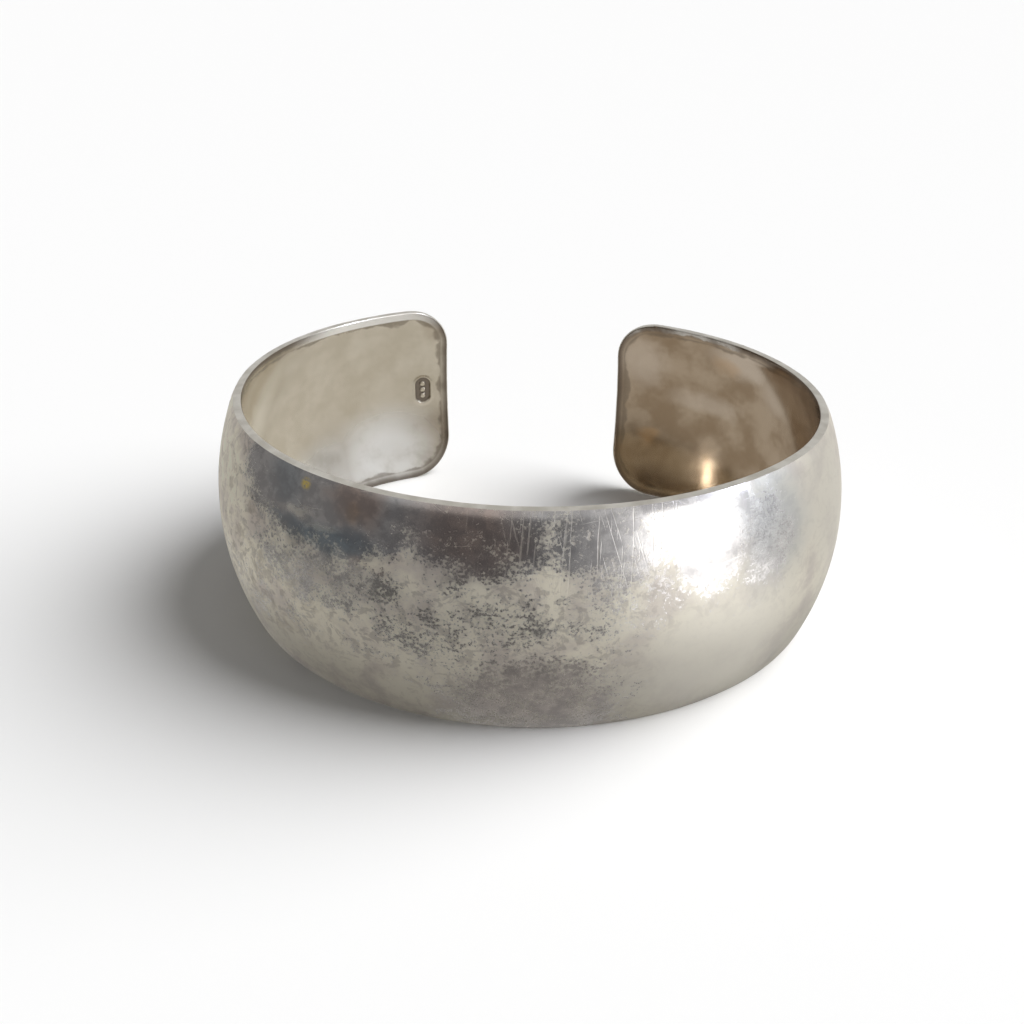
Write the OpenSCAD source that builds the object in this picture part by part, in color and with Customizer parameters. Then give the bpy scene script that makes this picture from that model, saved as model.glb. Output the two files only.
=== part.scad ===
// Open cuff bracelet: one strip of silver sheet, domed across its width and bent into
// a flattened ring that stops short of closing. Units are millimetres and degrees.
//
// Frame: the cuff lies on its lower rim with the wrist's axis along +Z. The shallow
// front is at -Y and the gap at +Y, and the origin is the middle of its box at the
// bottom. The plan is set on the rim line, which runs along the middle of the sheet's
// thickness at either rim. It is a chain of arcs, each tangent to the next: one front
// arc, then a shoulder and a tail on each side.
//
// A heading is the way the rim line points at a place. It is 0 at the middle of the
// front, 90 at the widest place of an arm and 180 where an arm runs level across the
// back.

/* [Band] */
// Height of the band, from rim to rim
band_w = 22; // [14:0.5:40]
// Thickness of the sheet
sheet_t = 1; // [0.6:0.05:2]
// How far the middle of the band stands out beyond its rims
dome_rise = 2.4; // [0.8:0.05:4]
// Radius of the rounded corners at both ends of the strip
corner_r = 5; // [1:0.5:6]

/* [Plan] */
// Radius of the front, the shallow side away from the gap
front_r = 30.7; // [26:0.1:40]
// Heading at which the front arc gives way to the shoulders
front_end = 50.4; // [35:0.2:65]
// Radius of the left shoulder
left_shoulder_r = 26.4; // [18:0.1:32]
// Radius of the right shoulder, bent a little tighter by hand
right_shoulder_r = 21.6; // [18:0.1:32]
// Heading at which the shoulders give way to the tails
shoulder_end = 95; // [92:0.5:120]
// Radius of both tails, which end at the gap
tail_r = 24.4; // [20:0.1:32]

/* [Gap] */
// Distance across the gap, between the two ends of the rim line
gap_w = 20.3; // [14:0.1:34]
// How far the middle of the gap lies to the left of the middle of the front
gap_shift = 0.5; // [-2:0.1:2]

/* [Punched mark] */
// Width of the mark's oval outline
mark_w = 1.8; // [1.2:0.1:2.5]
// Depth of the mark, the same all over because its floor follows the dome
mark_depth = 0.15; // [0.05:0.05:0.3]
// Distance along the band from the left end to the middle of the mark
mark_inset = 3; // [2:0.1:12]
// Diameter of each round pellet left standing in the mark
pellet_d = 0.5; // [0.3:0.05:0.8]
// Clear space between one pellet and the next
pellet_gap = 0.3; // [0.15:0.05:0.6]
// Number of pellets, which sets the mark's height
pellets = 3; // [2:1:4]

/* [Hidden] */
$fn = 180;
dome_fn = 720;
eps = 0.01;
aged_silver = [0.71, 0.69, 0.64];
LEFT = -1;
RIGHT = 1;

// The band's own section: a strip of a ring, with the rims cut level.
dome_r = (dome_rise * dome_rise + band_w * band_w / 4) / (2 * dome_rise);
crown = dome_rise + sheet_t / 2;

// The point at a heading on an arc, seen from the arc's centre. It also points straight
// out of the band.
function outward(heading) = [sin(heading), -cos(heading)];

// Centres of the arcs on one side, drawn as if that side were the right one.
function shoulder_r(side) = side == LEFT ? left_shoulder_r : right_shoulder_r;
front_c = [0, front_r];
function shoulder_c(side) = front_c + (front_r - shoulder_r(side)) * outward(front_end);
function tail_c(side) = shoulder_c(side) + (shoulder_r(side) - tail_r) * outward(shoulder_end);

// Heading of the rim line where the strip ends, which leaves the gap its width.
function end_x(side) = gap_w / 2 - side * gap_shift;
function tail_end(side) = 180 - asin((end_x(side) - tail_c(side).x) / tail_r);

// How far each side reaches sideways, and back past the front's rim line.
function reach_x(side) = shoulder_c(side).x + shoulder_r(side) + crown;
function reach_y(side) = tail_c(side).y - (tail_r + crown) * cos(min(tail_end(side), 180));
mid_x = (reach_x(RIGHT) - reach_x(LEFT)) / 2;
mid_y = (max(reach_y(LEFT), reach_y(RIGHT)) - crown) / 2;

// The section between two curves that follow the dome, each at its distance out from the
// middle of the sheet. The rim line's foot is at the origin and x points straight out.
module section(from, to) {
    intersection() {
        translate([dome_rise - dome_r, band_w / 2]) difference() {
            circle(r = dome_r + to, $fn = dome_fn);
            circle(r = dome_r + from, $fn = dome_fn);
        }
        translate([-2 * sheet_t, 0]) square([crown + 4 * sheet_t, band_w]);
    }
}
module sheet_section() { section(-sheet_t / 2, sheet_t / 2); }

// Moves its children in two steps, a round one and the small rest, so that no digits
// are lost and the ends of neighbouring arcs meet exactly.
module place(at) {
    round_part = [for (v = at) round(100 * v) / 100];
    translate(round_part) translate(at - round_part) children();
}

// Turns a section along one arc, from one heading to another.
module bend(centre, r, from, to) {
    place(centre) rotate_extrude(angle = to - from, start = from - 90) translate([r, 0]) children();
}

// Puts its children in the frame of a place on a tail: x straight out of the band from
// the rim line, y on towards the end of the strip, z up.
module on_tail(side, heading) {
    translate(tail_c(side)) rotate(heading - 90) translate([tail_r, 0, 0]) children();
}

// What rounding takes off the two corners at the end of one side, cut straight through
// the sheet.
module corner_cuts(side) {
    clear = corner_r + 2 * sheet_t;
    on_tail(side, tail_end(side)) for (top = [0, 1])
        translate([-clear, 0, top * band_w]) mirror([0, 0, top]) difference() {
            translate([0, -corner_r, -eps]) cube([crown + 2 * clear, corner_r + eps, corner_r + eps]);
            translate([-eps, -corner_r, corner_r]) rotate([0, 90, 0])
                cylinder(r = corner_r, h = crown + 2 * clear + 2 * eps);
        }
}

// The punch for the mark, an upright oval with its pellets kept clear. It points straight
// out of the band and starts inside the ring.
module punch() {
    reach = crown + 2 * sheet_t;
    pitch = pellet_d + pellet_gap;
    half = pitch * (pellets - 1) / 2;
    translate([-2 * sheet_t, 0, band_w / 2]) rotate([0, 90, 0]) difference() {
        union() {
            translate([-half, -mark_w / 2, 0]) cube([2 * half, mark_w, reach]);
            for (end = [-half, half]) translate([end, 0, 0]) cylinder(d = mark_w, h = reach);
        }
        for (i = [0:pellets - 1]) translate([i * pitch - half, 0, -eps])
            cylinder(d = pellet_d, h = reach + 2 * eps);
    }
}

// What the punch takes out of the inner face.
module mark_cut(side) {
    heading = tail_end(side) - mark_inset / tail_r * 180 / PI;
    intersection() {
        on_tail(side, heading) punch();
        bend(tail_c(side), tail_r, shoulder_end, tail_end(side))
            section(-sheet_t, mark_depth - sheet_t / 2);
    }
}

// One side of the cuff, drawn as the right one: shoulder, tail and rounded end.
module side_band(side) {
    bend(shoulder_c(side), shoulder_r(side), front_end, shoulder_end) sheet_section();
    difference() {
        bend(tail_c(side), tail_r, shoulder_end, tail_end(side)) sheet_section();
        corner_cuts(side);
        if (side == LEFT) mark_cut(side);
    }
}

module cuff() {
    color(aged_silver) translate([-mid_x, -mid_y, 0]) {
        bend(front_c, front_r, -front_end, front_end) sheet_section();
        side_band(RIGHT);
        mirror([1, 0, 0]) side_band(LEFT);
    }
}

cuff();
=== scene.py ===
# %% [markdown]
# # An open cuff in worn silver
#
# This cuff is one strip of silver sheet. A silversmith saws out a flat blank, rounds its
# corners, punches a mark in it, domes it across its width and bends it round an oval
# mandrel until only a gap for the wrist is left. The lesson makes it in the same order,
# flat first and bent last, because a flat blank is easy to cut, to smooth at its edges
# and to mark, and because everything that was drawn on the flat metal then follows the
# bends.

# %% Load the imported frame
import math

import bmesh
import bpy
from mathutils import Matrix, Vector


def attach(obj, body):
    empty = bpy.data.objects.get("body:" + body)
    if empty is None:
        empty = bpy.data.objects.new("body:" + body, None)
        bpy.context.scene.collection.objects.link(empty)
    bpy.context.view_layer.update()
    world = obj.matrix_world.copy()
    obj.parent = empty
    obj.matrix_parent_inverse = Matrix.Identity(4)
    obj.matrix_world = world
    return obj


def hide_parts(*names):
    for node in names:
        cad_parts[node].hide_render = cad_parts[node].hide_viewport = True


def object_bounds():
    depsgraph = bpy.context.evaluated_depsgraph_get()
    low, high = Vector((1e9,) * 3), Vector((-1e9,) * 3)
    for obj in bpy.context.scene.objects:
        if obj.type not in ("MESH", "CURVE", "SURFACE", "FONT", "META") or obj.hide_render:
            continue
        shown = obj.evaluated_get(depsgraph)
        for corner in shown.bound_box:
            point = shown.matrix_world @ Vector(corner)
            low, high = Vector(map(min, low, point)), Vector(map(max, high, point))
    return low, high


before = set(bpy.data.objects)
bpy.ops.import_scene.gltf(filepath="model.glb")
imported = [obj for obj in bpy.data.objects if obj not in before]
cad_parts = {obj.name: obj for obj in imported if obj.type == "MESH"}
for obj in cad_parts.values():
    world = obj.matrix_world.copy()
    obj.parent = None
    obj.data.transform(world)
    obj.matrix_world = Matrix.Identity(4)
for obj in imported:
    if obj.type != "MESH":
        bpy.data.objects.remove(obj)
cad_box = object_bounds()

MM = 0.001
print("CAD box, mm:", [[round(v / MM, 2) for v in corner] for corner in cad_box])

# %% [markdown]
# ## The camera
#
# The camera looks down on the closed front of the cuff from a hand's length away, and a
# little from the right. A camera this close shows strong perspective: the near front
# looks much taller than the two ends behind it. So its distance matters as much as its
# angle. It is placed by an aim point, two angles, a slight tilt and a distance, and these
# are turned into one matrix whose columns are the camera's right, up and back.

# %% Place the camera
AIM = Vector((-1.83, 13.67, 0.80)) * MM
CAMERA_HEIGHT_ANGLE = math.radians(27.67)
CAMERA_TURN = math.radians(1.70)
CAMERA_TILT = math.radians(0.41)
CAMERA_DISTANCE = 138.54 * MM
FOCAL_LENGTH = 40.57
SENSOR_WIDTH = 36.0

back = Vector((
    math.sin(CAMERA_TURN) * math.cos(CAMERA_HEIGHT_ANGLE),
    -math.cos(CAMERA_TURN) * math.cos(CAMERA_HEIGHT_ANGLE),
    math.sin(CAMERA_HEIGHT_ANGLE),
))
right = Vector((math.cos(CAMERA_TURN), math.sin(CAMERA_TURN), 0))
up = back.cross(right)
right, up = (
    math.cos(CAMERA_TILT) * right + math.sin(CAMERA_TILT) * up,
    math.cos(CAMERA_TILT) * up - math.sin(CAMERA_TILT) * right,
)
bpy.ops.object.camera_add()
camera = bpy.context.object
camera.name = "camera"
camera.matrix_world = Matrix.Translation(AIM + back * CAMERA_DISTANCE) @ Matrix(
    (right, up, back)
).transposed().to_4x4()
camera.data.lens = FOCAL_LENGTH
camera.data.sensor_width = SENSOR_WIDTH
camera.data.clip_start = 5 * MM
bpy.context.scene.camera = camera
print("camera at, mm:", [round(v / MM, 1) for v in camera.location])

# %% [markdown]
# ## The sizes of the strip
#
# These are the sizes that the frame was drawn with. The rim line runs along the middle of
# the sheet's thickness at either rim, and its plan is a chain of arcs, each tangent to
# the next. A heading is the way the line points: 0 at the middle of the front, 90 at the
# widest place of an arm. The length of the flat blank is the length of that line, and
# its width is the length of the dome's curve from rim to rim.

# %% Sizes, arcs and the blank
BAND_WIDTH = 22 * MM
SHEET = 1 * MM
DOME_RISE = 2.4 * MM
CORNER = 5 * MM
FRONT_R = 30.7 * MM
LEFT_SHOULDER_R = 26.4 * MM
RIGHT_SHOULDER_R = 21.6 * MM
TAIL_R = 24.4 * MM
FRONT_END = math.radians(50.4)
SHOULDER_END = math.radians(95)
GAP = 20.3 * MM
GAP_SHIFT = 0.5 * MM

DOME_R = (DOME_RISE**2 + BAND_WIDTH**2 / 4) / (2 * DOME_RISE)
RIM_LEAN = math.asin(BAND_WIDTH / 2 / DOME_R)


def outward(heading):
    """The way out of the band at a heading, seen from above."""
    return Vector((math.sin(heading), -math.cos(heading)))


def arcs(shoulder_radius, end_x):
    """One side's arcs from the front to the end: (centre, radius, from, to)."""
    front = Vector((0, FRONT_R))
    shoulder = front + (FRONT_R - shoulder_radius) * outward(FRONT_END)
    tail = shoulder + (shoulder_radius - TAIL_R) * outward(SHOULDER_END)
    tail_end = math.pi - math.asin((end_x - tail.x) / TAIL_R)
    return (
        (front, FRONT_R, 0, FRONT_END),
        (shoulder, shoulder_radius, FRONT_END, SHOULDER_END),
        (tail, TAIL_R, SHOULDER_END, tail_end),
    )


left_arcs = arcs(LEFT_SHOULDER_R, GAP / 2 + GAP_SHIFT)
right_arcs = arcs(RIGHT_SHOULDER_R, GAP / 2 - GAP_SHIFT)
left_length = sum(r * (b - a) for _, r, a, b in left_arcs)
right_length = sum(r * (b - a) for _, r, a, b in right_arcs)
LENGTH = left_length + right_length
BLANK_WIDTH = 2 * DOME_R * RIM_LEAN
print(f"blank: {LENGTH / MM:.2f} x {BLANK_WIDTH / MM:.2f} mm")

# %% [markdown]
# ## The flat blank
#
# The blank stands upright with its outer face towards the front, so that it never has to
# be turned. A plane is scaled to size and its four corners are bevelled round. The
# outline is cut into short, even steps, and three narrow borders are inset inside it.
# They follow the outline round the corners, and they give the softened edges clean metal
# to stand on. The rest is filled with a grid, because bending needs many small quads in
# rows. A plane with a boolean cut at the corners would bend badly, since the cut leaves
# long thin faces.

# %% Helper for working in edit mode
def choose(obj, kind, test):
    """Selects only the vertices, edges or faces for which test is true, in edit mode."""
    bpy.ops.mesh.select_mode(type={"verts": "VERT", "edges": "EDGE", "faces": "FACE"}[kind])
    bpy.ops.mesh.select_all(action="DESELECT")
    bm = bmesh.from_edit_mesh(obj.data)
    chosen = [e for e in getattr(bm, kind) if test(e)]
    for e in chosen:
        e.select_set(True)
    bm.select_flush_mode()
    bmesh.update_edit_mesh(obj.data)
    return len(chosen)


print("edit mode helper ready")

# %% Cut out the blank
# Doming shortens what stands near the rims, so the flat corners start a little taller.
LONG_STEPS = (12, 24)
SHORT_STEPS = 24
CORNER_STEPS = 16
BORDER = 0.46 * MM
BORDERS = 3
CORNER_STRETCH = DOME_R * (RIM_LEAN - math.asin((BAND_WIDTH / 2 - CORNER) / DOME_R)) / CORNER
STRAIGHT_SIDE = 10 * MM

bpy.ops.object.select_all(action="DESELECT")
bpy.ops.mesh.primitive_plane_add(size=1, rotation=(math.pi / 2, 0, 0))
cuff = bpy.context.object
cuff.name = "silver_cuff"
cuff.scale = (LENGTH, BLANK_WIDTH / CORNER_STRETCH, 1)
cuff.location.x = LENGTH / 2
bpy.ops.object.transform_apply(location=True, rotation=True, scale=True)

bpy.ops.object.mode_set(mode="EDIT")
choose(cuff, "verts", lambda v: True)
bpy.ops.mesh.bevel(offset=CORNER, segments=CORNER_STEPS, affect="VERTICES", profile=0.5)
bpy.ops.mesh.select_all(action="SELECT")
bpy.ops.mesh.delete(type="ONLY_FACE")
bpy.ops.mesh.select_all(action="SELECT")
bpy.ops.transform.resize(value=(1, 1, CORNER_STRETCH), center_override=(0, 0, 0))
choose(cuff, "edges", lambda e: abs(e.verts[0].co.x - e.verts[1].co.x) > STRAIGHT_SIDE)
for steps in LONG_STEPS:
    bpy.ops.mesh.subdivide(number_cuts=steps - 1)
choose(cuff, "edges", lambda e: abs(e.verts[0].co.z - e.verts[1].co.z) > STRAIGHT_SIDE)
bpy.ops.mesh.subdivide(number_cuts=SHORT_STEPS - 1)
bpy.ops.mesh.select_all(action="SELECT")
bpy.ops.mesh.edge_face_add()
for _ in range(BORDERS):
    bpy.ops.mesh.inset(thickness=BORDER, use_even_offset=True)
middle_face = max(bmesh.from_edit_mesh(cuff.data).faces, key=lambda f: len(f.verts))
inner_loop = {v.index for v in middle_face.verts}
choose(cuff, "faces", lambda f: f == middle_face)
bpy.ops.mesh.delete(type="ONLY_FACE")
print("edges round the outline:", len(inner_loop))

# %% Fill the middle with a grid
# The grid starts at the vertex halfway round a corner, which must be the active one.
GRID_COLUMNS = math.prod(LONG_STEPS) + CORNER_STEPS

inset = BORDER * BORDERS
corner_middle = Vector((
    CORNER - (CORNER - inset) * math.sqrt(0.5),
    0,
    BLANK_WIDTH / 2 - CORNER * CORNER_STRETCH + (CORNER * CORNER_STRETCH - inset) * math.sqrt(0.5),
))
choose(cuff, "verts", lambda v: v.index in inner_loop)
bm = bmesh.from_edit_mesh(cuff.data)
start = min((v for v in bm.verts if v.select), key=lambda v: (v.co - corner_middle).length)
bm.select_history.clear()
bm.select_history.add(start)
bmesh.update_edit_mesh(cuff.data)
bpy.ops.mesh.fill_grid(span=GRID_COLUMNS, offset=0)
bpy.ops.mesh.select_all(action="SELECT")
bpy.ops.mesh.normals_make_consistent(inside=False)
bm = bmesh.from_edit_mesh(cuff.data)
if sum(f.normal.y for f in bm.faces) > 0:
    bpy.ops.mesh.flip_normals()
bpy.ops.object.mode_set(mode="OBJECT")
print("faces:", len(cuff.data.polygons))

# %% [markdown]
# ## Thickness, level rims and soft edges
#
# The flat blank gets its thickness from Solidify. A domed strip with square edges would
# stand on the sharp inner edge of its rim. A silversmith files both rims level on a flat
# stone, so here each face of the sheet is drawn in or out until its rim ends at the same
# height after doming. Years of wear have thinned the edges, so both faces are pressed
# together a little along the whole outline. Then all sharp edges are softened. A bevel
# alone would round the corners of the rims and leave them as thick as the sheet.

# %% Give the blank its thickness
EDGE_SOFTENING = 0.3 * MM
EDGE_STEPS = 5
RIM_HEIGHT = BAND_WIDTH / 2 - 0.03 * MM
# Where the edges are thinned: how far in from the outline, and by how much on each face.
THINNED = ((0.1 * MM, 0.05 * MM), (0.6 * MM, 0.05 * MM), (1.1 * MM, 0.03 * MM))
ON_A_FACE = 0.2 * MM
SHARP = math.radians(60)
HAIR = 0.01 * MM


def to_outline(p):
    """How far a point of the flat blank lies inside its outline."""
    x = abs(p.x - LENGTH / 2) - (LENGTH / 2 - CORNER)
    z = abs(p.z) - (BLANK_WIDTH / 2 - CORNER)
    return CORNER - math.hypot(max(x, 0), max(z, 0)) - min(max(x, z), 0)


def apply_modifier(kind, **settings):
    """Adds a modifier to the cuff, sets it and applies it."""
    modifier = cuff.modifiers.new(kind.lower(), kind)
    for name, value in settings.items():
        setattr(modifier, name, value)
    bpy.ops.object.modifier_apply(modifier=modifier.name)


apply_modifier("SOLIDIFY", thickness=SHEET, offset=0, use_even_offset=True)
bpy.ops.object.mode_set(mode="EDIT")
for depth in (SHEET / 2, -SHEET / 2):
    choose(cuff, "verts", lambda v: abs(v.co.y + depth) < HAIR)
    level = math.asin(RIM_HEIGHT / (DOME_R + depth)) / RIM_LEAN
    bpy.ops.transform.resize(value=(1, 1, level), center_override=(0, 0, 0))
    print(f"face at {-depth / MM:+.1f} mm drawn by {level:.4f}")
for reach, thinning in THINNED:
    for side in (1, -1):
        choose(cuff, "verts", lambda v: side * v.co.y > ON_A_FACE and to_outline(v.co) < reach)
        bpy.ops.transform.translate(value=(0, -side * thinning, 0))
sharp = choose(cuff, "edges", lambda e: e.calc_face_angle(0) > SHARP)
bpy.ops.mesh.bevel(offset=EDGE_SOFTENING, segments=EDGE_STEPS, affect="EDGES", profile=0.5)
bpy.ops.object.mode_set(mode="OBJECT")
print("softened edges:", sharp, "faces:", len(cuff.data.polygons))

# %% [markdown]
# ## The punched mark
#
# A small mark is struck on the inner face near the left end. This one is an oval with
# three round pellets left standing in it, and it has no letters. It is struck while the
# blank is flat. The grid is made finer round it, and the metal inside the oval goes
# down in small steps, so that its walls slope a little. The metal that the punch pushes
# aside stands up as a low lip round the oval.

# %% Strike the mark
MARK_X = 3 * MM
MARK_WIDTH = 1.8 * MM
MARK_DEPTH = 0.15 * MM
PELLET = 0.5 * MM
PELLET_PITCH = 0.8 * MM
MARK_STEPS = 5
WALL = 0.12 * MM
LIP = 0.05 * MM
LIP_WIDTHS = (0.3 * MM, 0.18 * MM)
LIP_STARTS = 0.02 * MM
# The grid is made finer twice, each time as far out from the oval as this.
FINE_ROUND = ((0.7 * MM, 3), (0.3 * MM, 1))


def into_oval(p):
    """How far a point lies inside the oval; less than zero outside it."""
    along = max(abs(p.z) - PELLET_PITCH, 0)
    return MARK_WIDTH / 2 - math.hypot(p.x - MARK_X, along)


def off_pellets(p):
    """How far a point lies from the nearest pellet's side."""
    return min(
        math.hypot(p.x - MARK_X, p.z - i * PELLET_PITCH) - PELLET / 2 for i in (-1, 0, 1)
    )


def on_inner_face(p):
    return abs(p.y - SHEET / 2) < MARK_DEPTH + HAIR


bpy.ops.object.mode_set(mode="EDIT")
for around, cuts in FINE_ROUND:
    choose(cuff, "faces", lambda f: f.normal.y > 0.9
           and into_oval(f.calc_center_median()) > -around)
    bpy.ops.mesh.subdivide(number_cuts=cuts, quadcorner="INNERVERT")
for i in range(MARK_STEPS):
    wall = WALL * (i + 0.5) / MARK_STEPS
    struck = choose(cuff, "verts", lambda v: on_inner_face(v.co)
                    and into_oval(v.co) > wall and off_pellets(v.co) > wall)
    bpy.ops.transform.translate(value=(0, -MARK_DEPTH / MARK_STEPS, 0))
    print("mark step", i, "verts", struck)
for width in LIP_WIDTHS:
    choose(cuff, "verts", lambda v: on_inner_face(v.co)
           and -width < into_oval(v.co) < -LIP_STARTS)
    bpy.ops.transform.translate(value=(0, LIP / len(LIP_WIDTHS), 0))
bpy.ops.object.mode_set(mode="OBJECT")
print("faces:", len(cuff.data.polygons))

# %% [markdown]
# ## A map of the strip
#
# Stains, worn places and scratches are laid out later by their place on the flat strip.
# On the bent cuff there is no easy way back to that place, so every point now writes down
# where it lies: how far along the strip, how far above its middle, and how deep in the
# sheet, all in millimetres. The materials read this in place of a picture's map, and it
# has no seam and no stretch.

# %% Write the flat position onto the metal
flat = cuff.data.attributes.new("flat", "FLOAT_VECTOR", "POINT")
for i, v in enumerate(cuff.data.vertices):
    flat.data[i].vector = (v.co.x / MM, v.co.z / MM, v.co.y / MM)
print("flat positions:", len(flat.data))

# %% [markdown]
# ## Years on the wrist
#
# A worn cuff isn't perfectly even. Its reflections swim a little, because the sheet was
# hammered round the mandrel and has been squeezed open and shut since. A faint cloud
# pattern pulls both faces in together by a few hundredths of a millimetre, so the sheet
# keeps its thickness and never stands out past its true size.

# %% Let the sheet wave a little
WAVE = 0.06 * MM
WAVE_LENGTH = 9 * MM

waves = bpy.data.textures.new("waves", "CLOUDS")
waves.noise_scale = WAVE_LENGTH
waves.noise_depth = 1
apply_modifier("DISPLACE", texture=waves, direction="Y", texture_coords="LOCAL",
               strength=WAVE, mid_level=0)
print("waved by up to, mm:", WAVE / MM)

# %% [markdown]
# ## Doming and bending
#
# The strip is domed across its width first, as in a swage block, and bent round after
# that. Both are deformations of the whole sheet, so it keeps its thickness. The bend
# follows a path made of the five arcs, drawn from the left end to the right end. Pulling
# the ends round by hand would never meet the frame's plan, and the path does it exactly.

# %% Dome the strip
half_height = max(v.co.z for v in cuff.data.vertices)
apply_modifier(
    "SIMPLE_DEFORM",
    deform_method="BEND",
    deform_axis="X",
    angle=2 * half_height / DOME_R,
)
bpy.ops.object.mode_set(mode="EDIT")
bpy.ops.mesh.select_all(action="SELECT")
bpy.ops.transform.translate(value=(0, -DOME_RISE, BAND_WIDTH / 2))
bpy.ops.object.mode_set(mode="OBJECT")
heights = [v.co.z for v in cuff.data.vertices]
print("domed strip stands, mm:", round((max(heights) - min(heights)) / MM, 3))

# %% Draw the rim line
PATH_STEP = 0.05 * MM


def walk(side_arcs, side):
    """Points of one side's rim line, from the front to the end."""
    points = []
    for centre, radius, start, end in side_arcs:
        steps = math.ceil(radius * (end - start) / PATH_STEP)
        for k in range(steps):
            p = centre + radius * outward(start + (end - start) * k / steps)
            points.append(Vector((side * p.x, p.y)))
    p = centre + radius * outward(end)
    return points + [Vector((side * p.x, p.y))]


rim_line = walk(left_arcs, -1)[::-1] + walk(right_arcs, 1)[1:]
path = bpy.data.curves.new("rim_line", "CURVE")
path.dimensions = "3D"
path.twist_mode = "Z_UP"
spline = path.splines.new("POLY")
spline.points.add(len(rim_line) - 1)
for point, p in zip(spline.points, rim_line):
    point.co = (p.x, p.y, 0, 1)
bender = bpy.data.objects.new("bender", path)
bpy.context.scene.collection.objects.link(bender)
bpy.context.view_layer.update()
print("rim line points:", len(rim_line))

# %% Bend the strip
# The last step moves the bent strip to where the frame stands: its box is centred.
SMOOTH_BELOW = math.radians(40)

apply_modifier("CURVE", object=bender, deform_axis="POS_X")
bpy.data.objects.remove(bender)
mid = (cad_box[0] + cad_box[1]) / 2
reach = [max(side * v.co.x for v in cuff.data.vertices) for side in (1, -1)]
shift_x = mid[0] - (reach[0] - reach[1]) / 2
shift_y = cad_box[0][1] + DOME_RISE + SHEET / 2
bpy.ops.object.mode_set(mode="EDIT")
bpy.ops.mesh.select_all(action="SELECT")
bpy.ops.transform.translate(value=(shift_x, shift_y, 0))
bpy.ops.object.mode_set(mode="OBJECT")
bpy.ops.object.select_all(action="DESELECT")
cuff.select_set(True)
bpy.ops.object.shade_smooth_by_angle(angle=SMOOTH_BELOW)
xs, ys, zs = zip(*(v.co for v in cuff.data.vertices))
print("cuff, mm:", [[round(f(a) / MM, 3) for a in (xs, ys, zs)] for f in (min, max)])

# %% [markdown]
# ## Wiring materials
#
# Each finish is wired from a few small kinds of node. These helpers add one node, set its
# sockets and return what it puts out, so that a finish reads as a list of steps.

# %% Helpers for wiring nodes
def add(tree, kind, sockets=None, **settings):
    """Adds a node. A socket takes a plain value or another node's output."""
    made = tree.nodes.new(kind)
    for name, value in settings.items():
        setattr(made, name, value)
    for name, value in (sockets or {}).items():
        if isinstance(value, bpy.types.NodeSocket):
            tree.links.new(value, made.inputs[name])
        else:
            made.inputs[name].default_value = value
    return made


def calc(tree, operation, a, b=0.0, c=0.0):
    """One step of arithmetic on values."""
    return add(tree, "ShaderNodeMath", {0: a, 1: b, 2: c}, operation=operation).outputs[0]


def vcalc(tree, operation, a, b=(0, 0, 0), scale=1.0):
    """One step of arithmetic on positions. Input 3 is the scale."""
    made = add(tree, "ShaderNodeVectorMath", {0: a, 1: b, 3: scale}, operation=operation)
    return made.outputs["Value" if operation == "LENGTH" else "Vector"]


def times(tree, a, b):
    return calc(tree, "MULTIPLY", a, b)


def most(tree, *values):
    """The largest of several values."""
    total = values[0]
    for value in values[1:]:
        total = calc(tree, "MAXIMUM", total, value)
    return total


def fade(tree, value, start, end, low=0.0, high=1.0):
    """Goes smoothly from low to high while value goes from start to end."""
    return add(tree, "ShaderNodeMapRange",
               {"Value": value, "From Min": start, "From Max": end, "To Min": low, "To Max": high},
               interpolation_type="SMOOTHSTEP").outputs["Result"]


def blend(tree, amount, a, b, kind="MIX"):
    """Goes from colour a to colour b as amount goes from 0 to 1."""
    made = add(tree, "ShaderNodeMix", {0: amount, 6: a, 7: b}, data_type="RGBA", blend_type=kind)
    return made.outputs[2]


def noise(tree, place, scale, detail=2.0, roughness=0.5):
    return add(tree, "ShaderNodeTexNoise",
               {"Vector": place, "Scale": scale, "Detail": detail, "Roughness": roughness})


def cloud_value(tree, place, scale, detail=2.0, roughness=0.5):
    """Clouds of grey: scale is in clouds per millimetre, and the middle grey is 0.5."""
    return noise(tree, place, scale, detail, roughness).outputs["Fac"]


def colour(r, g, b):
    return (r, g, b, 1.0)


def split(tree, place):
    """The three numbers of a position."""
    return add(tree, "ShaderNodeSeparateXYZ", {0: place}).outputs


print("helpers ready")

# %% [markdown]
# ## Effects that the finishes share
#
# A soft patch puts a stain, a worn place, painted light or painted shade at a chosen spot
# on the strip. Hairlines are the short scratches of handling, and each call draws them in
# one direction. The edge distance tells how near a place is to the outline, where dirt
# gathers and where a painted highlight and painted shade run along the upper edge inside.
# All three are node groups that read the flat position, so they keep their true size
# everywhere on the bent metal. A painted picture would do the same job, but it would blur
# when seen from close by.

# %% Helpers for node groups
def new_group(name, inputs, outputs):
    """An empty group, returned with what goes into it and what it puts out."""
    tree = bpy.data.node_groups.new(name, "ShaderNodeTree")
    for label, kind, value in inputs:
        item = tree.interface.new_socket(label, in_out="INPUT", socket_type=kind)
        if value is not None:
            item.default_value = value
    for label, kind in outputs:
        tree.interface.new_socket(label, in_out="OUTPUT", socket_type=kind)
    return tree, tree.nodes.new("NodeGroupInput").outputs, tree.nodes.new("NodeGroupOutput").inputs


def placed_group(tree, group, place, values):
    """Places a group in a material, reading the flat position, with its own values."""
    made = add(tree, "ShaderNodeGroup", node_tree=group)
    tree.links.new(place, made.inputs["Flat"])
    for name, value in values.items():
        made.inputs[name].default_value = value
    return made.outputs[0]


print("group helpers ready")

# %% Soft patch
# Full over the inner quarter of its reach, and faded to nothing at its rim.
FULL_WITHIN = 0.25

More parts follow.
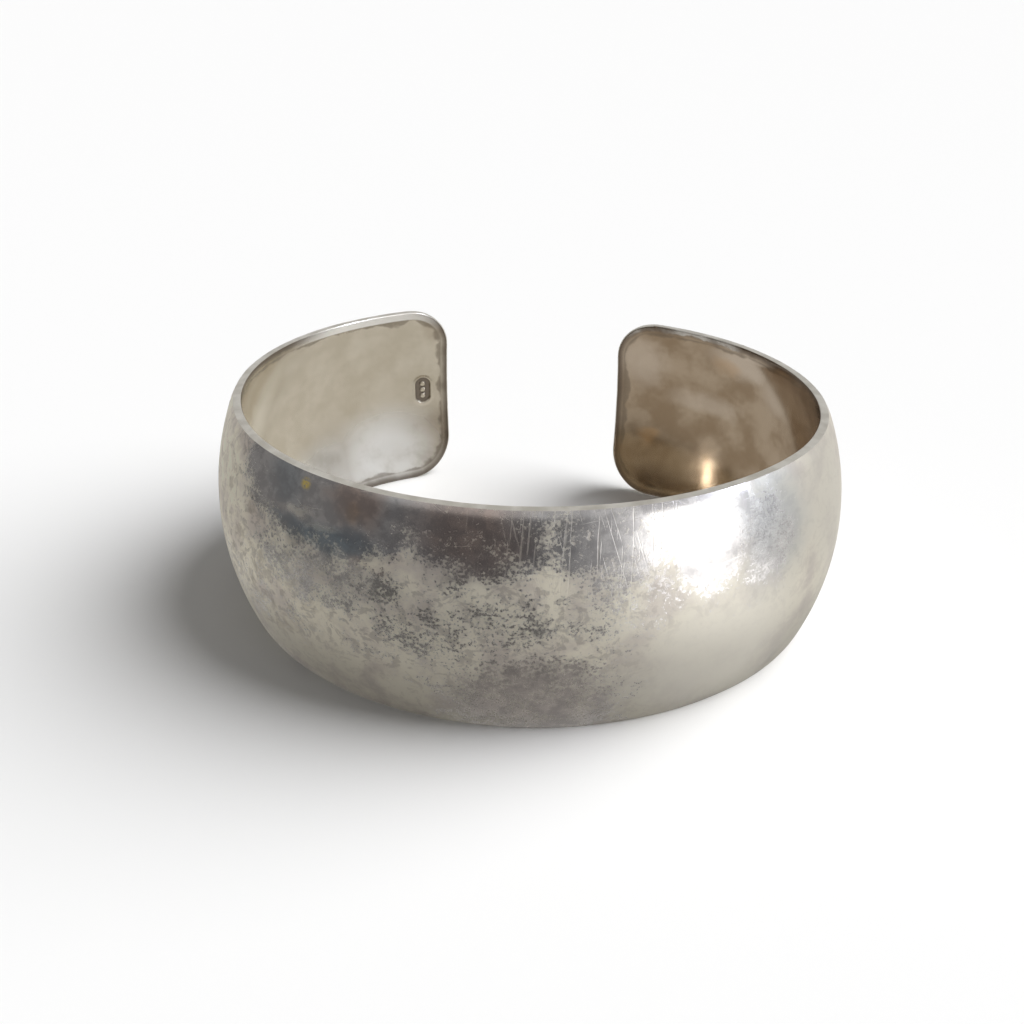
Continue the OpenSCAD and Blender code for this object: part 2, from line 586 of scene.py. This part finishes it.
soft_patch, given, result = new_group(
    "soft patch",
    [("Flat", "NodeSocketVector", None),
     ("Centre", "NodeSocketVector", (0, 0, 0)),
     ("Reach", "NodeSocketVector", (1, 1, 1))],
    [("Mask", "NodeSocketFloat")],
)
offset = vcalc(soft_patch, "SUBTRACT", given["Flat"], given["Centre"])
offset = vcalc(soft_patch, "MULTIPLY", offset, (1, 1, 0))
offset = vcalc(soft_patch, "DIVIDE", offset, given["Reach"])
mask = fade(soft_patch, vcalc(soft_patch, "LENGTH", offset), 1.0, FULL_WITHIN)
soft_patch.links.new(mask, result["Mask"])


def patch(tree, place, centre, reach):
    """A soft oval spot at a place on the strip, in millimetres along it and across it."""
    return placed_group(tree, soft_patch, place, {"Centre": (*centre, 0), "Reach": (*reach, 1)})


def patches(tree, place, spots):
    """The strongest of several soft patches, given as (strength, centre, reach)."""
    return most(tree, *(
        times(tree, patch(tree, place, centre, reach), strength)
        for strength, centre, reach in spots
    ))


print("group:", soft_patch.name)

# %% Hairlines
# Long thin clouds, cut off so high that only their crests are left as lines. A larger
# amount cuts them off lower, which leaves more and longer lines.
CREST = 0.85
CREST_DROP = 0.3
LINE_EDGE = 0.05

hairlines, given, result = new_group(
    "hairlines",
    [("Flat", "NodeSocketVector", None),
     ("Angle", "NodeSocketFloat", 0.0),
     ("Length", "NodeSocketFloat", 4.0),
     ("Width", "NodeSocketFloat", 0.08),
     ("Amount", "NodeSocketFloat", 0.3),
     ("Seed", "NodeSocketFloat", 0.0)],
    [("Mask", "NodeSocketFloat")],
)
turned = add(hairlines, "ShaderNodeVectorRotate",
             {"Vector": given["Flat"], "Angle": given["Angle"]},
             rotation_type="Z_AXIS").outputs[0]
parts = split(hairlines, turned)
along = calc(hairlines, "DIVIDE", parts["X"], given["Length"])
across = calc(hairlines, "DIVIDE", parts["Y"], given["Width"])
strokes = add(hairlines, "ShaderNodeCombineXYZ", {0: along, 1: across, 2: given["Seed"]}).outputs[0]
grain = cloud_value(hairlines, strokes, 0.5, detail=1.0)
least = calc(hairlines, "SUBTRACT", CREST, times(hairlines, given["Amount"], CREST_DROP))
full = calc(hairlines, "ADD", least, LINE_EDGE)
line = add(hairlines, "ShaderNodeMapRange",
           {"Value": grain, "From Min": least, "From Max": full}).outputs["Result"]
hairlines.links.new(line, result["Mask"])


def scratches(tree, place, angle, length, width, amount, seed):
    """Scratches at an angle in degrees, with their length and width in millimetres."""
    return placed_group(tree, hairlines, place, {
        "Angle": math.radians(angle), "Length": length, "Width": width,
        "Amount": amount, "Seed": seed,
    })


print("group:", hairlines.name)

# %% Distance from the edge
# How far a place is from the blank's outline, in millimetres, with the corners rounded.
edge_distance, given, result = new_group(
    "edge distance", [("Flat", "NodeSocketVector", None)], [("Distance", "NodeSocketFloat")]
)
half = Vector((LENGTH / 2, BLANK_WIDTH / 2, 0)) / MM
core = half - Vector((CORNER, CORNER, 0)) / MM
centred = vcalc(edge_distance, "SUBTRACT", given["Flat"], (half.x, 0, 0))
from_core = vcalc(edge_distance, "SUBTRACT", vcalc(edge_distance, "ABSOLUTE", centred), core)
from_core = vcalc(edge_distance, "MULTIPLY", from_core, (1, 1, 0))
parts = split(edge_distance, from_core)
beyond = vcalc(edge_distance, "LENGTH", vcalc(edge_distance, "MAXIMUM", from_core, (0, 0, 0)))
within = calc(edge_distance, "MINIMUM", most(edge_distance, parts["X"], parts["Y"]), 0.0)
distance = calc(edge_distance, "SUBTRACT", CORNER / MM, calc(edge_distance, "ADD", beyond, within))
edge_distance.links.new(distance, result["Distance"])


def from_edge(tree, place):
    return placed_group(tree, edge_distance, place, {})


print("group:", edge_distance.name)

# %% [markdown]
# ## Starting a finish
#
# The cuff gets three finishes: one outside, one inside and one on the rims. Each starts
# with the same shader and the same flat position. A second copy of that position is
# pushed about by clouds, so that a patch drawn on it gets a ragged edge, as real stains
# have. Lines are drawn on the true position, because on the pushed one they would look
# like cracks.

# %% Helpers for a finish
def new_finish(name):
    """A new material with the shader and the flat position in it."""
    material = bpy.data.materials.new(name)
    material.use_nodes = True
    tree = material.node_tree
    tree.nodes.clear()
    shader = tree.nodes.new("ShaderNodeBsdfPrincipled")
    out = tree.nodes.new("ShaderNodeOutputMaterial")
    tree.links.new(shader.outputs[0], out.inputs["Surface"])
    place = add(tree, "ShaderNodeAttribute", attribute_name="flat").outputs["Vector"]
    return material, tree, shader.inputs, place


def pushed_about(tree, place, scale, reach):
    """The flat position moved by up to about reach millimetres, differently everywhere."""
    push = noise(tree, place, scale, detail=3.0).outputs["Color"]
    push = vcalc(tree, "SUBTRACT", push, (0.5, 0.5, 0.5))
    return vcalc(tree, "ADD", place, vcalc(tree, "SCALE", push, scale=2 * reach))


def stain(tree, under, mask, strength, rgb):
    """Lays a colour over what is under it, where the mask says and as strongly as told."""
    return blend(tree, times(tree, mask, strength), under, colour(*rgb))


print("finish helpers ready")

# %% [markdown]
# ## The outer face: how much film is left
#
# The outside is old silver under a thin, dull, pale film. The film is thickest on the
# sides and low on the right, breaks up into specks round the middle of the front and over
# both arms, and is rubbed off below the upper rim, where bare grey metal mirrors the
# room. So the finish has two layers, bare metal and film, and one map that says how much
# film is left. The map adds soft patches, which say roughly where, to fine noise, which
# breaks the edge into specks. Either one alone looks wrong: patches look airbrushed, and
# noise puts wear where no hand ever rubs.

# %% Where the outside is worn bare
# Strength, centre (along from the left end, above the middle) and reach, in millimetres.
BARE_SPOTS = (
    (1.9, (60, 11.5), (17, 10.5)),
    (1.4, (74, 12), (13, 12)),
    (1.35, (86, 11), (11, 12)),
    (1.8, (93.5, 9.5), (7, 11)),
    (0.75, (85, 3), (9, 8)),
    (0.95, (99.5, 6), (6, 9)),
    (0.72, (73, 0), (22, 10)),
    (1.1, (79, -8), (14, 12)),
    (0.9, (61, 3), (17, 6)),
    (0.6, (53, -3), (13, 6)),
    (0.95, (16, 1), (26, 16)),
    (0.95, (134, 1), (24, 16)),
)
outside, tree, shader, place = new_finish("silver outside")
ragged = pushed_about(tree, place, 0.35, 1.6)
bare = patches(tree, ragged, BARE_SPOTS)
print("bare spots:", len(BARE_SPOTS))

# %% Break the film into specks
# Specks have sharp edges and the veil between them fades slowly. The film is thinner
# all over where the metal is nearly bare.
SPECKLE_STRENGTH = 3.4
DRIFT_STRENGTH = 1.8
SPECKS_SHARE = 0.68
THIN_FILM = 0.62

fine = cloud_value(tree, place, 3.4, detail=4.0, roughness=0.7)
broad = cloud_value(tree, place, 0.45, detail=4.0, roughness=0.55)
speckle = times(tree, calc(tree, "SUBTRACT", fine, 0.5), SPECKLE_STRENGTH)
drift = times(tree, calc(tree, "SUBTRACT", broad, 0.5), DRIFT_STRENGTH)
worn = calc(tree, "ADD", calc(tree, "ADD", bare, speckle), drift)
specks = fade(tree, worn, 1.1, 0.72)
veil = fade(tree, calc(tree, "ADD", bare, drift), 1.55, 0.25)
film = calc(tree, "MULTIPLY_ADD", specks, SPECKS_SHARE, times(tree, veil, 1 - SPECKS_SHARE))
film = times(tree, film, fade(tree, bare, 0.45, 1.25, low=1.0, high=THIN_FILM))
print("film map:", len(tree.nodes), "nodes")

# %% [markdown]
# ## Scratches and nicks outside
#
# Faint scratches run at two slants over the whole outside, and short upright ones stand
# close together just left of the highlight, where the bare metal shows them best. A few
# nicks catch the light near them, and a pale smear lies at the left end of the bare
# metal. All of them go into one map, which later makes its places paler, rougher and a
# little sunk. Cut into the mesh, lines this fine would need millions of faces.

# %% Draw the scratches
# Angle, length, width, amount and seed of each set.
UPRIGHT_SETS = ((94, 2.6, 0.075, 0.68, 1.3), (76, 3, 0.07, 0.58, 7.7))
OTHER_SETS = ((30, 3, 0.09, 0.35, 4.1), (172, 4, 0.10, 0.35, 2.6))
SMEAR = ((0.6, (57.8, 7.9), (2.8, 0.8)), (0.45, (60.8, 7.0), (2.6, 0.7)))
NICKS = (
    (1.0, (82.2, 8.7), (0.45, 0.25)),
    (1.0, (81.1, 7.5), (0.3, 0.25)),
    (0.9, (83.4, 9.6), (0.2, 0.5)),
    (0.8, (98.5, 9.0), (0.25, 0.6)),
)
upright = most(tree, *(scratches(tree, place, *values) for values in UPRIGHT_SETS))
upright = times(tree, times(tree, upright, patch(tree, place, (84, 8), (17, 12))), 0.5)
others = most(tree, *(scratches(tree, place, *values) for values in OTHER_SETS))
lines = most(tree, upright, times(tree, others, 0.6),
             patches(tree, ragged, SMEAR), patches(tree, ragged, NICKS))
print("scratch sets:", len(UPRIGHT_SETS + OTHER_SETS), "nicks:", len(NICKS))

# %% [markdown]
# ## Colours outside
#
# The film is a pale warm grey in broad mottles, with small brown marks like the grain of
# leather. Painted light and shade make it lighter towards the left arm and darker to the
# right and low down. Painted light brightens a patch below the highlight, and painted shade
# darkens one high on the right. It has an olive cast on the left and a bluish one to the
# right of the highlight. The bare metal is grey silver that has turned steel blue and brown
# in places, as handled silver does. One speck of amber shines under the upper rim, near its left
# end.

# %% Colour the film
FILM_PALE = colour(0.82, 0.765, 0.635)
FILM_DULL = colour(0.62, 0.555, 0.49)

mottle = fade(tree, cloud_value(tree, place, 0.22, detail=5.0, roughness=0.6), 0.34, 0.56)
film_colour = blend(tree, mottle, FILM_DULL, FILM_PALE)

parts = split(tree, place)
# Painted light and shade: the film is made lighter towards the left arm, darker to the right and
# darker low down.
painted_light_left = fade(tree, parts["X"], 62, 46, low=1.0, high=1.2)
painted_shade_right = fade(tree, parts["X"], 78, 96, low=1.0, high=0.68)
painted_shade_low = fade(tree, parts["Y"], 0, -8, low=1.06, high=0.66)
painted_light_and_shade = times(tree, times(tree, painted_light_left, painted_shade_right), painted_shade_low)
painted_light_and_shade_colour = add(tree, "ShaderNodeCombineColor", {0: painted_light_and_shade, 1: painted_light_and_shade, 2: painted_light_and_shade}).outputs[0]
film_colour = blend(tree, 1.0, film_colour, painted_light_and_shade_colour, kind="MULTIPLY")

leathery = fade(tree, cloud_value(tree, ragged, 1.1, detail=6.0, roughness=0.65), 0.5, 0.6)
leathery = times(tree, leathery, fade(tree, bare, 0.05, 0.6, low=0.25, high=0.5))
film_colour = stain(tree, film_colour, leathery, 1.0, (0.32, 0.28, 0.245))
olive = fade(tree, cloud_value(tree, ragged, 0.5, detail=6.0, roughness=0.7), 0.5, 0.62)
olive = times(tree, olive, patch(tree, place, (50, 1), (17, 15)))
film_colour = stain(tree, film_colour, olive, 0.45, (0.36, 0.30, 0.22))
# Painted light brightens a patch below the highlight, and painted shade darkens a patch high on the
# right.
lit_side = patch(tree, ragged, (95, -4), (13, 10))
film_colour = stain(tree, film_colour, lit_side, 0.75, (0.63, 0.60, 0.53))
painted_shade_high_right = patch(tree, ragged, (110, 7), (11, 13))
film_colour = stain(tree, film_colour, painted_shade_high_right, 0.6, (0.38, 0.36, 0.32))
bluish = patch(tree, ragged, (100.5, 7), (6, 9))
film_colour = stain(tree, film_colour, bluish, 0.75, (0.30, 0.31, 0.31))
print("film coloured:", len(tree.nodes), "nodes")

# %% Colour the bare metal
BARE_SILVER = colour(0.64, 0.62, 0.61)
BROWNED = (
    (0.9, (64, 10), (4, 3)),
    (0.9, (74, 9), (7, 5)),
    (0.7, (66, 5.5), (3, 1.5)),
    (0.35, (79, -6), (12, 8)),
)
BLUED = (
    (1.0, (61, 6.3), (8.5, 1.7)),
    (0.55, (56, 10), (3.5, 2.6)),
    (0.3, (99, 8), (4, 5)),
)
metal = stain(tree, BARE_SILVER, patches(tree, ragged, BROWNED), 1.0, (0.58, 0.46, 0.40))
metal = stain(tree, metal, patches(tree, ragged, BLUED), 1.0, (0.35, 0.40, 0.44))
rust = patch(tree, place, (63.8, 9), (1.0, 1.4))
metal = stain(tree, metal, rust, 0.5, (0.66, 0.47, 0.33))
grime = fade(tree, cloud_value(tree, place, 0.7, detail=6.0, roughness=0.65), 0.6, 0.42)
metal = stain(tree, metal, grime, 0.35, (0.22, 0.21, 0.22))
print("metal coloured:", len(tree.nodes), "nodes")

# %% Lay the film over the metal
# Film is dull, so it is less of a metal and rougher than what lies under it.
FILM_DULLS_METAL = 0.62
FILM_ROUGHENS = 0.24
BARE_ROUGHNESS = 0.21
LINES_ROUGHEN = 0.15
RELIEF = 0.03 * MM

covered = most(tree, film, times(tree, lines, 0.6))
skin = blend(tree, covered, metal, film_colour)
amber = patch(tree, place, (58.4, 10.1), (0.75, 0.7))
amber = times(tree, amber, fade(tree, fine, 0.40, 0.48))
skin = stain(tree, skin, amber, 1.0, (1.0, 0.80, 0.28))
tree.links.new(skin, shader["Base Color"])
metallic = calc(tree, "SUBTRACT", 1.0, times(tree, covered, FILM_DULLS_METAL))
tree.links.new(metallic, shader["Metallic"])
roughness = calc(tree, "ADD", times(tree, film, FILM_ROUGHENS), BARE_ROUGHNESS)
roughness = calc(tree, "ADD", roughness, times(tree, lines, LINES_ROUGHEN))
tree.links.new(roughness, shader["Roughness"])
relief = calc(tree, "SUBTRACT", times(tree, film, 0.5), lines)
bump = add(tree, "ShaderNodeBump", {"Height": relief, "Strength": 0.3, "Distance": RELIEF})
tree.links.new(bump.outputs[0], shader["Normal"])
print("outer finish:", len(tree.nodes), "nodes")

# %% [markdown]
# ## The inner face
#
# The inside is smoother than the outside, as it was only ever rubbed on skin. Its left
# arm is a satin beige with a painted highlight low down, its right arm has gone brown in
# clouds, and one turns into the other round the front. The struck mark is dark with old
# dirt. It is found by its depth in the sheet, so the colour always fits its shape.

# %% Colour the inside
LEFT_TINTS = (colour(0.58, 0.52, 0.41), colour(0.66, 0.60, 0.49))
RIGHT_TINTS = (colour(0.31, 0.225, 0.145), colour(0.45, 0.355, 0.255))
LIGHT_CLOUDS = (
    (0.8, (136, 9), (7, 3)),
    (0.6, (150, 6), (4, 5)),
    (0.6, (131, 7), (5, 4)),
    (0.5, (142, 2), (6, 2)),
)
ORANGE_SPOTS = ((0.6, (148.8, -4), (1.6, 1.8)), (0.35, (139, 8), (2.5, 1.6)))
BROWN_STAINS = ((0.3, (1.5, -5), (2.4, 3)), (0.35, (1, 9), (3, 2.5)))
# Where a painted highlight lies low on the left arm: strength, centre and reach.
PAINTED_HIGHLIGHT_SPOTS = ((1.0, (8, -8), (10, 8)), (0.6, (16, -8), (9, 6)))
# The change from the left arm to the right one, in millimetres along the strip.
TURN = (60, 120)

inside, tree, shader, place = new_finish("silver inside")
ragged = pushed_about(tree, place, 0.4, 1.2)
parts = split(tree, place)
cloud = cloud_value(tree, place, 0.2, detail=5.0, roughness=0.6)
clouds = fade(tree, cloud, 0.36, 0.64)
left_colour = blend(tree, clouds, *LEFT_TINTS)
right_colour = blend(tree, clouds, *RIGHT_TINTS)
light_clouds = patches(tree, ragged, LIGHT_CLOUDS)
right_colour = stain(tree, right_colour, light_clouds, 1.0, (0.62, 0.53, 0.43))
orange = patches(tree, ragged, ORANGE_SPOTS)
right_colour = stain(tree, right_colour, orange, 1.0, (0.52, 0.33, 0.17))
tint = blend(tree, fade(tree, parts["X"], *TURN), left_colour, right_colour)
tint = stain(tree, tint, patches(tree, ragged, BROWN_STAINS), 1.0, (0.35, 0.27, 0.19))
# Painted highlight: a pale patch low on the left arm, where the light is reflected.
painted_highlight = times(tree, patches(tree, place, PAINTED_HIGHLIGHT_SPOTS), fade(tree, cloud, 0.30, 0.55, low=0.8))
tint = stain(tree, tint, painted_highlight, 1.0, (0.93, 0.94, 0.93))
struck = fade(tree, parts["Z"], 0.5, 0.38)
tint = stain(tree, tint, struck, 0.8, (0.12, 0.09, 0.07))
print("inside coloured:", len(tree.nodes), "nodes")

# %% [markdown]
# ## The inner face near its edges
#
# A dark line of dirt is left where the cloth never reaches, close to the edges. Along
# the upper edge at both ends, a painted highlight makes the outermost millimetre bright,
# and a thin line of painted shade lies under the bright band. Both come from the distance
# to the edge: taken as it is, it gives the even band on the left, and pushed about, it
# gives the ragged one on the right.

# %% Dirt, painted highlight and painted shade at the edges
edge = from_edge(tree, ragged)
true_edge = from_edge(tree, place)
# Painted highlight along the upper edge at both ends, and painted shade in a thin line under it.
highlight_left_end = patch(tree, place, (10, 11), (13, 4))
highlight_right_end = times(tree, times(tree, patch(tree, place, (144, 11), (12, 4)), clouds), 0.6)
painted_edge_highlight = most(tree, times(tree, fade(tree, true_edge, 0.95, 0.75), highlight_left_end),
                   times(tree, fade(tree, edge, 0.7, 0.3), highlight_right_end))
painted_shade_line = times(tree, fade(tree, true_edge, 0.7, 0.95), fade(tree, edge, 1.35, 1.0))
dirt = fade(tree, calc(tree, "ADD", edge, times(tree, cloud, 1.4)), 1.75, 0.6)
dirt = times(tree, dirt, fade(tree, parts["X"], *TURN, low=0.45, high=0.75))
tint = stain(tree, tint, dirt, 1.0, (0.12, 0.09, 0.065))
tint = stain(tree, tint, painted_shade_line, 0.55, (0.16, 0.125, 0.09))
tint = stain(tree, tint, painted_edge_highlight, 1.0, (0.95, 0.93, 0.88))
tree.links.new(tint, shader["Base Color"])
print("edges worn:", len(tree.nodes), "nodes")

# %% Gloss of the inside
# The painted highlights, low on the left arm and along the upper edge, are made less of a
# mirror. The left end is satin and the rest is smoother.
pale = most(tree, painted_highlight, painted_edge_highlight)
tree.links.new(calc(tree, "SUBTRACT", 0.9, times(tree, pale, 0.5)), shader["Metallic"])
satin = fade(tree, parts["X"], 18, 32, low=0.2, high=0.11)
tree.links.new(calc(tree, "MULTIPLY_ADD", clouds, 0.05, satin), shader["Roughness"])
print("inner finish:", len(tree.nodes), "nodes")

# %% [markdown]
# ## The rims
#
# The rims and both ends are plain metal, rubbed to a soft shine by sleeves and skin, with
# slightly darker and lighter stretches. They need no film and no map of their own.

# %% Rim finish
RIM_TINTS = (colour(0.50, 0.47, 0.41), colour(0.66, 0.63, 0.57))

rim, tree, shader, place = new_finish("silver rim")
cloud = cloud_value(tree, place, 0.6, detail=3.0)
tree.links.new(blend(tree, fade(tree, cloud, 0.3, 0.7), *RIM_TINTS), shader["Base Color"])
shader["Metallic"].default_value = 0.85
shader["Roughness"].default_value = 0.3
print("rim finish:", len(tree.nodes), "nodes")

# %% [markdown]
# ## Putting the finishes on
#
# Which finish a face gets depends only on how deep in the sheet it lies. The written
# flat position still holds that depth after all the bending: half a millimetre one way
# is the outer face, half a millimetre the other way is the inner one, and what lies
# between them is rim. The struck mark lies less deep than that, and stays inner face.

# %% Put the finishes on
OUTER_DEPTH = -0.22
INNER_DEPTH = 0.3

for material in (outside, inside, rim):
    cuff.data.materials.append(material)
flat = cuff.data.attributes["flat"]
counts = [0, 0, 0]
for polygon in cuff.data.polygons:
    deep = sum(flat.data[i].vector.z for i in polygon.vertices) / len(polygon.vertices)
    polygon.material_index = 0 if deep < OUTER_DEPTH else 1 if deep > INNER_DEPTH else 2
    counts[polygon.material_index] += 1
print("faces outside, inside and on the rims:", counts)

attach(cuff, "root")
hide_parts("cuff")

# %% [markdown]
# ## The floor
#
# The cuff stands on matt white paper that runs on as far as the camera sees. The paper
# takes the soft shadow. It is hidden from the metal's reflections, because what the metal
# mirrors is laid out below.

# %% Lay the floor
bpy.ops.object.select_all(action="DESELECT")
bpy.ops.mesh.primitive_plane_add(size=8)
floor = bpy.context.object
floor.name = "floor"
paper = bpy.data.materials.new("white paper")
paper.use_nodes = True
paper_shader = paper.node_tree.nodes["Principled BSDF"].inputs
paper_shader["Base Color"].default_value = colour(0.88, 0.88, 0.88)
paper_shader["Roughness"].default_value = 0.9
paper_shader["Specular IOR Level"].default_value = 0.1
floor.data.materials.append(paper)
floor.visible_glossy = False
print("floor laid, m:", [round(v, 2) for v in floor.dimensions])

# %% [markdown]
# ## What the metal mirrors
#
# Silver has hardly any colour of its own and shows the room instead, so this is the
# larger half of how it looks. In a studio, white and dark cards are stood round such a
# piece. Here they glow, so that each can be as bright as it needs to be:
#
# - A bench card lies in the floor's place. It is darker towards the front and the left,
#   with one bright pool at the front right.
# - A dark card on the left gives the upper front something dark to mirror.
# - A window to the right of it makes the broad white highlight.
# - A strip light further out and higher up shows as one bright streak inside the right
#   arm, after a first bounce off the left one.
#
# Only reflections can see them, so they light nothing and throw no shadow.

# %% Helpers for cards and lights
def toward(azimuth, elevation):
    """The direction seen from the cuff: azimuth 0 is the front and 90 the right."""
    a, e = math.radians(azimuth), math.radians(elevation)
    return Vector((math.sin(a) * math.cos(e), -math.cos(a) * math.cos(e), math.sin(e)))


def glowing(name, rgb):
    """A plain glow, returned with its tree and its glow node for more wiring."""
    material = bpy.data.materials.new(name)
    material.use_nodes = True
    tree = material.node_tree
    tree.nodes.clear()
    glow = add(tree, "ShaderNodeEmission", {"Color": colour(*rgb)})
    out = tree.nodes.new("ShaderNodeOutputMaterial")
    tree.links.new(glow.outputs[0], out.inputs["Surface"])
    return material, tree, glow


def only_for_metal(card, name, material):
    """Makes a card that only shows in the metal."""
    card.name = name
    card.data.materials.append(material)
    card.visible_camera = False
    card.visible_diffuse = False
    card.visible_shadow = False
    print("card:", name)


def standing_card(name, from_azimuth, to_azimuth, radius, high, material):
    """A curved strip of card that stands round the cuff."""
    bpy.ops.object.select_all(action="DESELECT")
    bpy.ops.mesh.primitive_cylinder_add(vertices=180, radius=radius, depth=high,
                                        end_fill_type="NOTHING", location=(0, 0, high / 2))
    card = bpy.context.object
    bpy.ops.object.transform_apply(location=True, rotation=False, scale=False)
    bpy.ops.object.mode_set(mode="EDIT")
    reach = math.cos(math.radians((to_azimuth - from_azimuth) / 2)) * radius
    axis = toward((from_azimuth + to_azimuth) / 2, 0)
    choose(card, "faces", lambda f: f.calc_center_median().dot(axis) < reach)
    bpy.ops.mesh.delete(type="FACE")
    bpy.ops.object.mode_set(mode="OBJECT")
    only_for_metal(card, name, material)


print("card helpers ready")

# %% Lay the bench card
# Places on the card are in millimetres, to the right of the cuff and behind it.
BENCH_GREY = colour(0.70, 0.69, 0.67)
BENCH_SHADE = colour(0.145, 0.14, 0.13)
BENCH_POOL = colour(2.6, 2.6, 2.6)
SHADE_SPOTS = ((1.0, (-22, -70), (92, 84)), (0.9, (-95, -20), (80, 95)))
POOL_SPOTS = ((1.0, (52, -46), (38, 34)),)

bench_glow, tree, glow = glowing("bench", (1, 1, 1))
here = add(tree, "ShaderNodeTexCoord").outputs["Object"]
here = vcalc(tree, "SCALE", here, scale=1 / MM)
grey = blend(tree, patches(tree, here, SHADE_SPOTS), BENCH_GREY, BENCH_SHADE)
grey = blend(tree, patches(tree, here, POOL_SPOTS), grey, BENCH_POOL)
tree.links.new(grey, glow.inputs["Color"])
bpy.ops.object.select_all(action="DESELECT")
bpy.ops.mesh.primitive_circle_add(vertices=64, radius=1.0, fill_type="NGON")
only_for_metal(bpy.context.object, "bench card", bench_glow)


# %% Stand the dark card and the window
# Azimuths are in degrees round the cuff, from the front towards the right.
def card_azimuth(tree):
    """How far round the cuff a place on a card stands, in degrees."""
    here = split(tree, add(tree, "ShaderNodeTexCoord").outputs["Object"])
    turn = calc(tree, "ARCTAN2", here["X"], times(tree, here["Y"], -1.0))
    return calc(tree, "DEGREES", turn)


card_glow, tree, glow = glowing("dark card", (1, 1, 1))
around = card_azimuth(tree)
dark = blend(tree, fade(tree, around, -15, -80), colour(0.14, 0.14, 0.145),
             colour(0.25, 0.245, 0.24))
dark = blend(tree, fade(tree, around, 8, 26), dark, colour(0.5, 0.5, 0.5))
tree.links.new(dark, glow.inputs["Color"])
standing_card("dark card", -112, 26, 110 * MM, 62 * MM, card_glow)

window_glow, tree, glow = glowing("window", (1, 1, 1))
around = card_azimuth(tree)
pane = times(tree, fade(tree, around, 30, 44), fade(tree, around, 73, 54))
pane = blend(tree, pane, colour(0.8, 0.8, 0.8), colour(4.0, 4.0, 4.0))
tree.links.new(pane, glow.inputs["Color"])
standing_card("window card", 26, 92, 140 * MM, 60 * MM, window_glow)

# %% Hang the strip light
STRIP_SIZE = (75 * MM, 220 * MM)
STRIP_DISTANCE = 500 * MM
STRIP_TOWARD = toward(77, 27)
STRIP_GLOW = (17.0, 18.5, 22.0)

bpy.ops.object.select_all(action="DESELECT")
bpy.ops.mesh.primitive_plane_add(size=1)
strip = bpy.context.object
strip.scale = (*STRIP_SIZE, 1)
strip.rotation_euler = STRIP_TOWARD.to_track_quat("Z", "Y").to_euler()
strip.location = STRIP_TOWARD * STRIP_DISTANCE
only_for_metal(strip, "strip light", glowing("strip", STRIP_GLOW)[0])

# %% [markdown]
# ## Light on the floor and the film
#
# One large soft light from the right, a little behind, throws the shadow to the left and
# models the film. A sun with a wide angle is as soft as a big window and needs no
# placing. It is hidden from reflections, or the metal would mirror it as a disc. The
# room's own light is kept low, which leaves the shadow deep. The camera is shown a
# brighter room, so that the background is white, and so are reflections.

# %% Lights
KEY_STRENGTH = 4.25
KEY_WIDTH = math.radians(58)
ROOM_LIGHT = 0.18
ROOM_SEEN_EXTRA = 0.82
ROOM_MIRRORED_EXTRA = 0.5

bpy.ops.object.light_add(type="SUN")
key = bpy.context.object
key.name = "key"
key.rotation_euler = toward(103, 44).to_track_quat("Z", "Y").to_euler()
key.data.energy = KEY_STRENGTH
key.data.angle = KEY_WIDTH
key.visible_glossy = False

room = bpy.data.worlds.new("room")
room.use_nodes = True
bpy.context.scene.world = room
tree = room.node_tree
rays = add(tree, "ShaderNodeLightPath").outputs
strength = calc(tree, "MULTIPLY_ADD", rays["Is Camera Ray"], ROOM_SEEN_EXTRA, ROOM_LIGHT)
strength = calc(tree, "MULTIPLY_ADD", rays["Is Glossy Ray"], ROOM_MIRRORED_EXTRA, strength)
tree.links.new(strength, tree.nodes["Background"].inputs["Strength"])
tree.nodes["Background"].inputs["Color"].default_value = colour(1.0, 1.0, 1.0)
bpy.context.scene.view_settings.view_transform = "Standard"
print("light:", key.name, "room:", ROOM_LIGHT)
